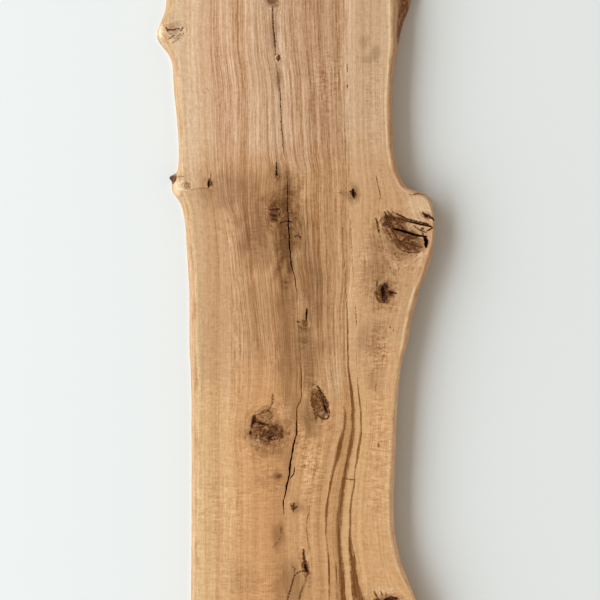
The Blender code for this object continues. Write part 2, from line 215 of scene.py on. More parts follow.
# Dark marks in and round the knots: strength, width, then along and across for each of their points, in mm.
MARKS = (
    # the open knot left of the main check
    (0.6, 2.8, -140, -35, -148, -34, -155, -36, -162, -39, -167, -43, -170, -51, -173, -61),
    (1, 7.5, -174, -62.5, -180, -62.5, -186, -64.5), (0.95, 3.6, -186, -65.5, -192, -67),
    (1, 4.6, -197, -67.5, -201, -68.5), (0.95, 4.6, -182, -61.5, -184, -55, -186, -48, -187.5, -41),
    (0.7, 2.8, -191.5, -64, -191, -56, -189.5, -47),
    (0.62, 2.4, -172, -58, -171, -54, -166, -48, -165, -42, -170, -36, -175, -35, -180, -40, -184, -49),
    (0.5, 2.2, -179, -51, -176, -52, -177, -48), (0.45, 5.5, -141, -35, -152, -35.5),
    (0.72, 15, -199, -41, -203, -34), (0.9, 4.4, -197, -44, -203, -42.5),
    (1, 3.4, -207.5, -45, -209, -38, -208.5, -30), (0.6, 2.4, -199, -33, -202, -28, -199, -25),
    (0.7, 3.4, -195, -41, -197, -35), (0.4, 2.4, -216, -43, -218, -31, -220, -24),
    (0.32, 2, -211, -53, -215, -43), (0.5, 1.6, -193, -8.5, -204, -10.5),
    # the drop-shaped knot right of it
    (0.42, 2.4, -118, 31, -129, 31.5), (0.75, 6, -129, 32, -138, 36.5, -146, 42, -154, 46, -163, 48.5),
    (1, 4.4, -146, 39, -155, 42, -162, 44, -169, 47),
    (0.7, 3.2, -165, 50, -171, 50, -177, 48, -179, 45, -177, 40, -175, 35, -169, 31.5, -166, 32),
    (0.55, 6.4, -142, 24.5, -150, 25, -158, 25.5, -167, 28, -174, 30, -184, 30),
    (0.36, 4.6, -131, 23, -142, 25, -151, 25.5), (0.28, 4.5, -171, 17, -181, 24),
    (0.25, 1.8, -189, 9, -189.5, 22, -190, 36), (0.22, 1.8, -197, 12, -199, 24, -197, 38),
    # the star-shaped knot at the foot of the bump
    (0.92, 13, 20, 132, -2, 132), (1, 6, 18, 129, 22.5, 133.5, 19.5, 138), (1, 7, 6, 130, 4, 134),
    (0.95, 4, 13.5, 139, 11, 145.5, 10, 151), (0.85, 2.6, 10.5, 142, 5, 146.5), (0.9, 3, 28, 122, 20, 121),
    (0.8, 2.8, 5, 121, 1, 123, -3, 127.5, -1, 132), (0.7, 2.6, 17, 124, 13, 128),
    # the split knot in the bump
    (1, 3.6, 107, 145, 106.5, 153, 103, 162, 100, 172, 97, 181, 96, 189, 95, 196),
    (1, 6.4, 94.5, 192, 88.5, 196, 79, 195), (0.9, 3, 108, 189, 100.5, 190, 96, 190.5),
    (0.85, 2.6, 108, 187, 107, 192), (0.85, 3.2, 98, 164, 94.5, 169.5, 92, 175.5, 94, 181),
    (0.85, 3.6, 124.5, 132, 124, 141, 123, 151, 120, 162, 117, 169),
    (0.85, 3.4, 132, 133, 120, 139, 108, 147, 100, 152), (0.85, 3.2, 134, 137, 118, 150, 106, 162, 97, 174),
    (0.85, 3.4, 123, 134, 102, 146, 85, 157, 75, 171), (0.95, 3.4, 130, 150, 121, 167, 117, 183, 114, 199),
    (0.8, 3, 90, 154, 84, 170, 79, 187), (0.75, 2.6, 114, 131, 103, 138, 92, 144),
    (0.75, 2.6, 112, 176, 106, 184, 101, 196), (0.7, 2.6, 80, 152, 74, 160, 71, 172, 72, 186),
    (0.9, 2.5, 118, 168, 115, 178.5, 113, 189, 112.5, 198, 109, 205),
    (0.85, 2.8, 108, 205, 106, 201, 103.5, 196),
    (0.9, 4.6, 130.5, 190, 127.5, 195, 126, 199, 122, 205, 120, 207),
    (0.8, 3.6, 123, 120, 115.5, 122, 101, 124.5),
    (0.42, 2, 126, 127.5, 117, 127.5, 108, 132, 99, 138, 91, 144, 84, 148.5, 78, 151.5),
    (0.5, 3, 124.5, 132, 115.5, 136.5, 108, 142, 103, 147), (0.45, 2.2, 137, 142, 132, 145.5, 129, 151.5),
    (0.35, 2, 96, 135, 93, 139.5), (0.42, 2.4, 67, 157, 68, 168, 73, 177, 78, 186, 80, 193),
    (0.3, 2.2, 82, 129, 75, 133), (0.4, 2, 72, 139, 67, 141), (0.42, 2, 54, 154.5, 48, 154, 42, 154),
    (0.38, 2, 39, 142, 41, 147, 39, 151.5), (0.34, 1.8, 46, 160.5, 40, 161),
    (0.32, 1.8, 28, 148, 29, 154, 27, 159, 23, 166, 24, 174), (0.3, 1.8, 3, 150, 1, 159, 0, 168),
    (0.28, 1.8, 58, 138, 61, 147, 58, 157), (0.5, 2.4, 158, 169, 157.5, 175, 160, 183, 158, 192),
    (0.3, 1.6, 133, 163, 139, 171),
    # the grown-over knot at the left edge near the head end
    (0.66, 3, 409, -195, 406, -192, 405, -186, 406.5, -180, 407, -175), (0.6, 4, 409, -195, 403, -192),
    (0.62, 2.8, 411, -168, 406.5, -171, 403.5, -172.5, 406.5, -175), (0.5, 3.4, 401, -168, 396, -170),
    (0.5, 3.6, 391, -192, 394, -187.5, 397, -182), (0.4, 3.4, 385, -186, 391, -178, 397, -172),
    (0.36, 2.6, 394, -180, 400, -172), (0.3, 7, 398, -184, 390, -180), (0.2, 6, 418, -181, 414, -175),
    # The second mark on the next line, along the knot's outer side on the left edge, is a painted shadow.
    (0.25, 6, 388, -198, 385, -192), (0.45, 3, 399, -209, 390, -207, 382, -202),
    # the second one below it, with the small knot beside it
    (0.65, 2.3, 194, -127, 186, -128, 179, -129), (1, 4.2, 179, -130.5, 169, -131),
    (0.75, 3, 178, -127, 171, -126), (0.35, 2.8, 186, -136, 177, -136.5),
    (0.4, 2, 177, -165, 174, -160.5, 168, -160, 171, -163.5),
    (0.42, 2.2, 165, -157, 166.5, -150, 168, -141, 167, -133, 165, -129, 163, -123),
    (0.35, 2.4, 185, -179, 185, -169), (0.25, 2.4, 154, -177, 157, -168), (0.5, 3, 156, -183, 150, -178),
    # small dark marks in the stain beside the main check
    (0.75, 1.6, 208, -29, 192, -29), (0.95, 4, 188, -31, 188, -27), (0.35, 1.4, 193.5, -38, 194, -24),
    (0.3, 1.4, 183, -38, 184.5, -24), (0.95, 3.6, 135, -39, 136.5, -31, 136.5, -24),
    (0.6, 6, 147, -33, 139, -31), (0.45, 15, 136, -37, 133, -27), (0.4, 9, 123, -37, 121, -27),
    (0.95, 5.4, 128, -39, 126, -29), (0.9, 3.6, 122, -37, 120, -28), (0.42, 2.4, 145, -30, 144, -23),
    (0.28, 1.5, 141, -43, 141, -20), (0.95, 3.4, 114, -24, 117, -21, 118.5, -13, 117, -6),
    (0.35, 2, 130, -15, 126, -23), (0.45, 2, 124, -26, 121, -15), (0.7, 4.4, 100, -19, 96, -16.5, 91, -18),
    (0.3, 2, 106, -23, 108, -16), (0.85, 3.4, 95, -2, 97.5, 3, 94.5, 6, 91, 7.5),
    (0.55, 3, 136, -7.5, 130, -6), (0.35, 2.4, 150, -4, 145, -1.5), (0.32, 8, 70, -14, 62, -13),
    (0.26, 4, 66, 1.5, 57, 4.5), (0.3, 10, 150, -57, 151, -49), (0.25, 1.5, 113, -42, 115, -25),
    (0.22, 1.4, 96, -46, 99, -22), (0.22, 1.4, 81, -45, 79, -18), (0.25, 1.4, 142, -6, 139, 11),
    (0.25, 1.4, 126, -6, 127, 11), (0.25, 1.4, 112, -4, 109, 11), (0.2, 1.4, 162, -8, 163, 8),
    # the short slit below the check
    (0.95, 3, -13, 16.5, -21, 15.8, -31, 15.8), (0.7, 3.4, -32, 1, -33, 6),
    (0.45, 5, -33, 12, -36, 15, -44, 13.5), (0.28, 2.4, -36, -4.5, -45, 1.5, -54, 6, -66, 9),
    (0.3, 3, -42, 6, -57, 12), (0.28, 1.6, -18, -6, -19, 6), (0.28, 1.6, -12, -6, -14, 12),
    # the head check's star and blurred stretch
    (0.55, 3, 440, -35, 420, -34.5, 405, -34, 387, -31, 375, -31, 367, -31.5),
    (0.75, 4.4, 367.5, -25.5, 360, -26), (0.45, 2, 369, -33, 368, -22),
    (0.5, 2.3, 450, -43, 444, -36, 449, -28), (0.38, 2.3, 443, -41, 438, -34.5, 443, -27),
    (0.4, 3, 459, -40, 457, -31), (0.34, 6, 354, -29, 342, -27, 330, -26, 316, -24),
    (0.5, 1.9, 318, -24, 301, -23, 270, -22, 219, -18), (0.25, 6, 342, 19.5, 331, 19.5),
    (0.25, 4, 315, 22.5, 294, 22.5), (0.28, 6, 460, 22.5, 423, 25),
    # pins, dashes and hairlines in the right half
    (0.5, 2.6, 354, 76.5, 342, 77), (0.55, 2.6, 323, 77, 317, 77), (0.3, 1.7, 307, 78.5, 225, 79, 180, 81),
    (1, 6, 166, 85.5, 160, 86, 154, 87), (0.7, 4, 163, 81, 159, 90), (0.35, 1.6, 161, 58, 160.5, 79),
    (0.25, 1.8, 168, 90, 169, 99), (0.2, 1.6, 145, 81, 144, 99), (0.55, 2, 186, 120, 153, 127.5),
    (0.3, 2, 358, 96, 358.5, 111, 357, 126), (0.25, 2, 400, 100.5, 387, 101), (0.3, 1.6, 365, 61, 364, 71),
    (0.3, 1.6, 351, 60, 349.5, 74), (0.34, 2.4, 122, 82, 90, 83, 60, 84.5, 28, 87),
    (0.5, 2.2, -10, 89, -38, 91), (0.36, 1.8, -76, 91, -100, 91), (0.4, 2, -116, 92, -143, 94.5),
    (0.5, 2.6, -40, 141, -43, 142), (0.4, 2.6, -43, 146, -47, 146), (0.28, 2.4, -54, 111, -53, 121),
    (0.35, 2.2, -49, 132, -55, 131), (0.25, 5, -90, 106, -99, 100), (0.5, 2.2, -126, 120, -137, 119),
    (0.65, 2, -268, 71, -269, 81, -270, 91), (0.6, 2.8, -214, 124, -221, 124),
    (0.45, 2.2, 318, -134, 314, -132), (0.4, 2, 312, -139, 309, -137),
    # the hooked spur, spots and dashes near the foot
    (0.6, 2, -250, -2, -261, -3, -268, -9), (0.45, 6, -264, -30, -264, -25, -263, -22),
    (0.75, 3.4, -306, -8, -312, -3, -310, 3), (0.8, 3.4, -304, -3, -318, -4),
    (0.5, 4, -340, -22, -350, -22.5), (0.38, 3.4, -354, -23, -363, -27, -371, -35),
    (0.45, 2.4, -306, 19.5, -318, 20, -330, 16.5, -345, 15.8, -360, 18, -374, 20),
    (0.3, 1.6, -285, 15, -287, 24, -287, 33), (0.22, 1.6, -392, 28, -393, 55),
    # the branching knot near the foot
    (0.75, 4.4, -374, 11, -390, 12, -399, 15, -406, 18, -413, 17), (0.55, 3.4, -393, 9, -402, 10),
    (0.7, 3, -409, 18, -406, 10, -409, 3, -412, -1.5, -420, -4.5, -432, -7.5, -450, -13, -472, -20),
    (0.65, 2.6, -400, -6, -403, -1.5, -409, -3),
    (0.5, 4.2, -411, 16.5, -423, 14, -438, 7.5, -450, 4.5, -472, 2),
    # the open knot by the right edge near the foot
    (0.7, 2.8, -437, 117, -448, 123), (0.6, 2.2, -436, 127, -445, 130), (0.5, 2.2, -437, 135, -446, 135),
    (0.9, 5, -449, 119, -452, 129), (1, 6, -449, 134, -447, 144, -448, 152), (0.9, 8, -456, 126, -460, 146),
)


def read_line(line, along, column=1):
    """Reads one column, in metres, of a line through points along the board, smoothly and with no overshoot."""
    line = sorted(line)
    marks = np.array([point[0] for point in line], float) * MM
    values = np.array([point[column] for point in line], float) * MM
    gaps = np.diff(marks)
    rises = np.diff(values) / gaps
    before, after = rises[:-1], rises[1:]
    agree = before * after > 0
    inner = np.where(agree, 2 * before * after / np.where(agree, before + after, 1.0), 0.0)
    slopes = np.concatenate(([rises[0]], inner, [rises[-1]]))
    along = np.asarray(along, float)
    i = np.clip(np.searchsorted(marks, along) - 1, 0, len(gaps) - 1)
    u = np.clip((along - marks[i]) / gaps[i], 0.0, 1.0)
    return (
        values[i] * (1 + 2 * u) * (1 - u) ** 2
        + slopes[i] * gaps[i] * u * (1 - u) ** 2
        + values[i + 1] * u * u * (3 - 2 * u)
        + slopes[i + 1] * gaps[i] * u * u * (u - 1)
    )


def fade(start, end, value):
    u = np.clip((np.asarray(value, float) - start) / (end - start), 0.0, 1.0)
    return u * u * (3 - 2 * u)


def rough(points, size, seed=0.0):
    """Smooth noise from -1 to 1 at each row of points, with lumps of about size metres."""
    shift = Vector((seed * 1.7, seed * 2.3, seed * 3.1))
    return np.array([noise.noise(Vector(point) / size + shift) for point in points])


def flat_noise(points, size, seed):
    return rough(np.concatenate([points, np.zeros((len(points), 1))], 1), size, seed)


def check_shape(along):
    """Half the main check's gap and its depth, in metres, at these places along the board."""
    along = np.asarray(along, float)
    half = np.full(along.shape, 0.3 * MM)
    depth = np.zeros(along.shape)
    for start, end, gap, deep in CHECKS:
        share = np.clip((along / MM - start) / (end - start), 0, 1)
        swell = np.sin(math.pi * share).clip(0, 1)
        ragged = 1 + 0.3 * np.sin(along / MM * 0.35 + start) * np.sin(along / MM * 0.13)
        inside = (share > 0) & (share < 1)
        half = np.maximum(half, gap * MM / 2 * (0.2 + 0.8 * swell**0.6) * ragged * inside)
        depth = np.maximum(depth, deep * MM * (0.35 + 0.65 * swell) * fade(0, 0.05, swell) * inside)
    return half, depth


def check_line(along):
    """The main check's path with its small natural jogs."""
    along = np.asarray(along, float)
    jog = 0.35 * np.sin(along / MM * 0.21) + 0.3 * np.sin(along / MM * 0.53 + 1.3)
    return read_line(PITH_LINE, along) + jog * MM


def row_places():
    places = [FOOT]
    while places[-1] < HEAD - HAIR:
        here = places[-1]
        close = any(start <= here < end for start, end in CLOSE_STRETCHES)
        places.append(min(here + (CLOSE_ROW_STEP if close else ROW_STEP), HEAD))
    return np.array(places)


def solid_tree():
    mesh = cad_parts["slab"].data
    corners = [vertex.co.copy() for vertex in mesh.vertices]
    return BVHTree.FromPolygons(corners, [tuple(face.vertices) for face in mesh.polygons])


def edge_of_solid(tree, side, rows, heights):
    """The across place of one live edge of the solid at each row and height."""
    found = np.zeros((len(rows), len(heights)))
    for i, along in enumerate(np.clip(rows, FOOT + HAIR, HEAD - HAIR)):
        for j, height in enumerate(np.clip(heights, HAIR, FACE - HAIR)):
            hit = tree.ray_cast(Vector((side, along, height)), Vector((-side, 0, 0)))[0]
            found[i, j] = hit.x
    padded = np.pad(found, ((1, 1), (0, 0)), mode="edge")
    return 0.25 * padded[:-2] + 0.5 * padded[1:-1] + 0.25 * padded[2:]


def wood_edge(tree, side, rows):
    """One live edge as a grid of points, with the fibre ridges and dents that debarked wood has."""
    levels = np.array(SIDE_LEVELS)
    heights = FACE * (1 - levels)
    across = edge_of_solid(tree, side, rows, heights)
    along_grid, height_grid = np.meshgrid(rows, heights, indexing="ij")
    flat = np.stack([across.ravel(), along_grid.ravel(), height_grid.ravel()], 1)
    ridges = 0.25 * MM * (rough(flat * (1.0, 0.18, 1.0), 5 * MM, 3 + side) + 1)
    dents = 0.3 * MM * (rough(flat, 22 * MM, 7 + side) + 1)
    held = np.sin(math.pi * levels).clip(0, 1) ** 0.5
    across -= side * (ridges + dents).reshape(across.shape) * held
    drop = FACE - height_grid
    height_grid = FACE - np.where(drop < SHOULDER, drop * drop / SHOULDER, drop)
    return np.stack([across, along_grid, height_grid], 2)


def face_columns(left, right, rows):
    """Across places of the face's columns at each row: they crowd round the main check and the dark streaks."""
    left, right = left[:, None], right[:, None]
    middle = check_line(rows)[:, None]
    half = check_shape(rows)[0][:, None]
    band = read_line(STREAK_LINE, rows)[:, None]
    band_left, band_right = band + STREAK_BAND[0], band + STREAK_BAND[1]
    near = np.concatenate([half * CHECK_COLUMNS, np.full((len(rows), 1), 1.0) * BY_CHECK], 1)
    by_arris = np.array(BY_ARRIS)
    left_start, right_start = left + 2 * by_arris[-1], right - 2 * by_arris[-1]
    check_left, check_right = middle - CHECK_REACH, middle + CHECK_REACH
    left_fan = left_start + (check_left - left_start) * np.linspace(0, 1, COLUMNS_LEFT)
    before = check_right + (band_left - check_right) * np.linspace(0, 1, COLUMNS_BEFORE_BAND + 1)[:-1]
    inside = band_left + (band_right - band_left) * np.linspace(0, 1, COLUMNS_IN_BAND + 1)[:-1]
    after = band_right + (right_start - band_right) * np.linspace(0, 1, COLUMNS_AFTER_BAND)
    return np.concatenate([
        left + by_arris, left_fan, middle - near[:, ::-1], middle, middle + near,
        before, inside, after, right - by_arris[::-1],
    ], 1)


def strip(across, rows, height):
    """Points at these across places of each row, all at one height."""
    return np.stack([across, np.repeat(rows[:, None], across.shape[1], 1), np.full_like(across, height)], 2)


def board_points(rows):
    """Rings of points round the board, one a row: the face from left to right, right edge, back, left edge."""
    tree = solid_tree()
    left, right = wood_edge(tree, -1, rows), wood_edge(tree, 1, rows)
    columns = face_columns(left[:, 0, 0], right[:, 0, 0], rows)
    share = np.linspace(0, 1, BACK_COLUMNS + 2)[1:-1]
    back_across = right[:, -1:, 0] + (left[:, -1:, 0] - right[:, -1:, 0]) * share
    face, back = strip(columns, rows, FACE), strip(back_across, rows, 0.0)
    return np.concatenate([face, right[:, 1:], back, left[:, :0:-1]], 1), columns[:, 0], columns[:, -1]


def segment_distance(points, start, end):
    """How far each 2-D point lies from a segment, and its share of the way along it."""
    run = end - start
    share = np.clip(((points - start) @ run) / (run @ run), 0, 1)
    return np.linalg.norm(points - (start + share[:, None] * run), axis=1), share


def corners_of(line):
    """The (across, along) corners, in metres, of a line given as along and across numbers in mm."""
    return np.array(line, float).reshape(-1, 2)[:, ::-1] * MM


def line_distance(points, line):
    """How far each (across, along) point lies from a line, and its share of the way along it, all in metres."""
    corners = corners_of(line)
    lengths = np.linalg.norm(np.diff(corners, axis=0), axis=1)
    travelled = np.concatenate(([0], np.cumsum(lengths))) / lengths.sum()
    away = np.full(len(points), 1.0)
    place = np.zeros(len(points))
    for i in range(len(lengths)):
        distance, share = segment_distance(points, corners[i], corners[i + 1])
        nearer = distance < away
        away = np.where(nearer, distance, away)
        place = np.where(nearer, travelled[i] + share * (travelled[i + 1] - travelled[i]), place)
    return away, place


def near_line(points, line, reach):
    corners = corners_of(line)
    return np.all((points > corners.min(0) - reach) & (points < corners.max(0) + reach), axis=1)


def fissure_depth(points, gap, depth, *line):
    """Depth of one crack at each (across, along) point, in metres."""
    found = np.zeros(len(points))
    near = near_line(points, line, gap * MM)
    away, place = line_distance(points[near], line)
    swell = 0.2 + 0.8 * np.sin(math.pi * place).clip(0, 1) ** 0.6
    inside = 1 - fade(0.55, 1.05, away / (gap * MM / 2 * swell))
    found[near] = depth * MM * inside * (0.4 + 0.6 * swell)
    return found


def turned(points, along, across, turn):
    """Points in a knot's own axes, in mm: first across it, then along it."""
    offset = points / MM - (across, along)
    c, s = math.cos(math.radians(turn)), math.sin(math.radians(turn))
    return np.stack([offset[:, 0] * c + offset[:, 1] * s, offset[:, 1] * c - offset[:, 0] * s], 1)


def oval_distance(points, along, across, length, width, turn=0):
    """How far out each (across, along) point lies of an oval: 1 at its rim."""
    return np.linalg.norm(turned(points, along, across, turn) / (width / 2, length / 2), axis=1)


def hollow_depth(points, along, across, length, width, turn, depth):
    """Depth of one ragged hollow at each (across, along) point, in metres."""
    away = oval_distance(points, along, across, length, width, turn)
    found = np.zeros(len(points))
    near = away < 1.7
    if near.any():
        ragged = 0.28 * flat_noise(points[near], 5 * MM, depth)
        ragged += 0.2 * flat_noise(points[near], 2.2 * MM, length)
        found[near] = depth * MM * (1 - fade(0.55, 1.0, away[near] + ragged)) * (0.75 + 0.5 * ragged)
    return found


def face_depth(points):
    """How deep the face is opened at each (across, along) point, in metres."""
    half, deep = check_shape(points[:, 1])
    away = np.abs(points[:, 0] - check_line(points[:, 1])) / half
    found = deep * (1 - fade(0.78, 1.02, away))
    for crack in FISSURES:
        found = np.maximum(found, fissure_depth(points, *crack))
    for knot in HOLLOWS:
        found = np.maximum(found, hollow_depth(points, *knot))
    return found


def grain_across(points, with_knots):
    """The across place of each point, in metres, counted as if the grain ran straight and no knot bent it."""
    along = points[:, 1]
    lines = np.stack([read_line(line, along) for _, line in GRAIN_GUIDES], 1)
    marks = np.array([mark for mark, _ in GRAIN_GUIDES], float) * MM
    across = points[:, 0]
    spot = np.clip((across[:, None] > lines).sum(1) - 1, 0, len(marks) - 2)
    rows = np.arange(len(points))
    start, end = lines[rows, spot], lines[rows, spot + 1]
    grain = marks[spot] + (across - start) / (end - start) * (marks[spot + 1] - marks[spot])
    for knot in KNOTS:
        local = turned(points, knot.along, knot.across, knot.turn)
        swing = np.exp(-((local[:, 0] / (knot.width * 0.7)) ** 2) - (local[:, 1] / (knot.length * 0.9)) ** 2)
        grain -= with_knots * knot.push * swing * local[:, 0] * MM
    return grain


def knot_fields(points):
    """For each point: how far out it lies of its nearest knot (1 at the rim), its brownness and its halo."""
    rim = np.full(len(points), 4.0)
    wood = np.zeros(len(points))
    halo = np.zeros(len(points))
    for i, knot in enumerate(KNOTS):
        away = oval_distance(points, *knot[:5])
        near = away < 3.5
        lumps, grit = flat_noise(points[near], 7 * MM, i + 1), flat_noise(points[near], 2.6 * MM, i + 5)
        away[near] += 0.34 * lumps + 0.2 * grit
        wood = np.maximum(wood, knot.wood * (1 - fade(0.4, 1.25, away)))
        halo = np.maximum(halo, 1 - fade(0.8, 0.8 + knot.halo, away))
        rim = np.minimum(rim, away)
    return rim, wood, halo


def patch_field(points, patches, ragged, start=0.3, end=1.15):
    """The strongest of the soft patches at each (across, along) point."""
    found = np.zeros(len(points))
    for i, (*oval, strength) in enumerate(patches):
        away = oval_distance(points, *oval)
        near = away < 1.8
        if near.any():
            away[near] += ragged * flat_noise(points[near] * (1, 0.4), 8 * MM, i + 11)
            found = np.maximum(found, strength * (1 - fade(start, end, away)))
    return found


def mark_field(points):
    """The strongest dark mark at each (across, along) point, with edges a little ragged."""
    found = np.zeros(len(points))
    shake = np.stack([flat_noise(points, 2.4 * MM, seed) for seed in (31, 37)], 1)
    shaken = points + 0.6 * MM * shake
    for strength, width, *line in MARKS:
        near = near_line(points, line, width * MM)
        away, place = line_distance(shaken[near], line)
        taper = 0.5 + 0.5 * np.sin(math.pi * place).clip(0, 1) ** 0.5
        close = 1 - fade(0.1, 1.7, away / (width * MM / 2 * taper))
        found[near] = np.maximum(found[near], strength * close)
    return found


def streak_field(points):
    """How far inside a dark streak each point lies: 1 at its middle, 0 at its edge and below that outside."""
    found = np.full(len(points), -1.5)
    for line in STREAKS:
        along = points[:, 1]
        start, end = min(line)[0] * MM, max(line)[0] * MM
        half = read_line(line, along, 2) / 2
        inside = 1 - np.abs(points[:, 0] - read_line(line, along)) / half
        found = np.maximum(found, np.where((along >= start) & (along <= end), inside, -1.5))
    return found


def near_spots():
    """Places of the face, as (along, across, reach) in mm, whose cells have to be fine."""
    spots = [(k.along, k.across, max(k.length, k.width) / 2 * PATCH_REACH) for k in KNOTS if k.wood > 0.55]
    for along, across, length, width, *_ in HOLLOWS:
        spots.append((along, across, max(length, width) / 2 + PATCH_MARGIN))
    lines = [(gap, line) for gap, _, *line in FISSURES] + [(width, line) for _, width, *line in MARKS]
    for width, line in lines:
        points = np.array(line, float).reshape(-1, 2)
        for start, end in zip(points, points[1:]):
            count = max(1, round(math.hypot(*(end - start)) / SPOT_STEP))
            for share in np.linspace(0, 1, count + 1):
                spots.append((*(start + (end - start) * share), width / 2 + PATCH_MARGIN))
    return np.array(spots)


def refine(bm):
    """Splits the cells of the face and the arrises finely where knots, marks and side cracks lie."""
    spots = near_spots()
    chosen = set()
    for face in bm.faces:
        centre = face.calc_center_median()
        if centre.z > FACE * 0.8:
            away = np.hypot(centre.y / MM - spots[:, 0], centre.x / MM - spots[:, 1])
            if (away < spots[:, 2]).any():
                chosen.update(face.edges)
    bmesh.ops.subdivide_edges(bm, edges=list(chosen), cuts=PATCH_CUTS, use_grid_fill=True)


def grid_ends(bm):
    """Cuts both saw-cut ends into small cells, so that what varies over them is held there too."""
    for end in (FOOT, HEAD):
        for axis, start, stop in ((0, low.x, high.x), (2, 0.0, FACE)):
            for place in np.arange(start + END_CELL, stop - END_CELL / 3, END_CELL):
                faces = [f for f in bm.faces if all(abs(v.co.y - end) < HAIR for v in f.verts)]
                edges = {edge for face in faces for edge in face.edges}
                verts = {vert for face in faces for vert in face.verts}
                normal = Vector((axis == 0, 0, axis == 2))
                bmesh.ops.bisect_plane(
                    bm, geom=faces + list(edges) + list(verts), plane_co=normal * place, plane_no=normal
                )


def places_of(mesh):
    found = np.zeros(len(mesh.vertices) * 3, np.float32)
    mesh.vertices.foreach_get("co", found)
    return found.reshape(-1, 3).astype(float)


def board_mesh():
    """The board's mesh, still with a closed face, and its two arrises as (along, left, right) arrays."""
    rows = row_places()
    points, left_arris, right_arris = board_points(rows)
    row_count, ring_count = points.shape[:2]
    index = np.arange(row_count * ring_count).reshape(row_count, ring_count)
    onward = np.roll(index, -1, axis=1)
    quads = np.stack([index[:-1], onward[:-1], onward[1:], index[1:]], 2).reshape(-1, 4)
    ends = [index[0][::-1].tolist(), index[-1].tolist()]
    mesh = bpy.data.meshes.new("oak_slab")
    mesh.from_pydata(points.reshape(-1, 3).tolist(), [], quads.tolist() + ends)
    bm = bmesh.new()
    bm.from_mesh(mesh)
    bmesh.ops.recalc_face_normals(bm, faces=bm.faces)
    refine(bm)
    grid_ends(bm)
    bm.to_mesh(mesh)
    bm.free()
    return mesh, (rows, left_arris, right_arris)


def open_face(mesh):
    """Sinks the face's vertices into its openings, and says which lie on the face and how deep each went."""
    places = places_of(mesh)
    on_face = places[:, 2] > FACE - HAIR / 2
    sunk = np.zeros(len(places))
    sunk[on_face] = face_depth(places[on_face, :2])
    places[:, 2] -= sunk
    mesh.vertices.foreach_set("co", places.astype(np.float32).ravel())
    mesh.update()
    return on_face, sunk


def mark_surface(mesh, arrises, on_face, sunk):
    """Stores what the finish varies by: grain, knots, stains, marks, openings, live edges and bark."""
    places = places_of(mesh)
    flat = places[:, :2]
    across, along, height = places.T / MM
    upper = fade(0.3 * FACE, 0.75 * FACE, places[:, 2])
    rim, wood, halo = knot_fields(flat)
    rows, left_arris, right_arris = arrises
    from_left = flat[:, 0] - np.interp(flat[:, 1], rows, left_arris)
    from_right = np.interp(flat[:, 1], rows, right_arris) - flat[:, 0]
    edge = ~on_face & (height > 0.01)
    collar = edge & (across > 0) & (height < FACE / MM * 0.72)
    collar = collar * fade(376, 400, along) * (1 - fade(505, 530, along))
    scrap = (np.hypot(along - 184, across + 188) < 9) * edge
    layers = {
        "grain_across": grain_across(flat, upper),
        "knot_rim": rim,
        "knot_wood": wood * upper,
        "knot_halo": halo * upper,
        "stain": patch_field(flat, STAINS, 0.4) * upper,
        "pale": patch_field(flat, PALES, 0.25, 0.5, 1.1) * upper,
        "curl": patch_field(flat, CURLS, 0.3) * upper,
        "mark": mark_field(flat) * upper,
        "streak": np.where(upper > 0.5, streak_field(flat), -1.5),
        "opened": np.clip(sunk / (2.5 * MM), 0, 1),
        "margin": np.minimum(from_left, from_right) / MM,
        "live_edge": edge,
        "bark": np.maximum(collar, scrap),
    }
    for name, values in layers.items():
        layer = mesh.attributes.new(name, "FLOAT", "POINT")
        layer.data.foreach_set("value", np.asarray(values, np.float32))


def maths(operation, swapped=False):
    """A method that feeds a wire, and the other value if there is one, to a Math node."""
    def method(wire, *others):
        values = (*others, wire) if swapped else (wire, *others)
        return wire.finish.make("ShaderNodeMath", {"operation": operation}, dict(enumerate(values)))
    return method


class Wire:
    """A value in a material. Python's operators on it add the Math nodes that do the same."""

    def __init__(self, finish, socket):
        self.finish = finish
        self.socket = socket

    __add__ = __radd__ = maths("ADD")
    __mul__ = __rmul__ = maths("MULTIPLY")
    __sub__ = maths("SUBTRACT")
    __rsub__ = maths("SUBTRACT", swapped=True)
    __truediv__ = maths("DIVIDE")
    __abs__ = maths("ABSOLUTE")
    root = maths("SQRT")
    # The angle whose tangent is this value over the other.
    angle = maths("ARCTAN2")

    def __neg__(self):
        return self * -1.0

    def between(self, start, end):
        """0 before start, 1 after end, and smooth between them."""
        settings = {"interpolation_type": "SMOOTHSTEP"}
        values = {"Value": self, "From Min": start, "From Max": end}
        return self.finish.make("ShaderNodeMapRange", settings, values)

    def parts(self):
        """The three numbers of a vector."""
        axes = self.finish.make("ShaderNodeSeparateXYZ", None, {"Vector": self}).socket.node
        return [Wire(self.finish, socket) for socket in axes.outputs]


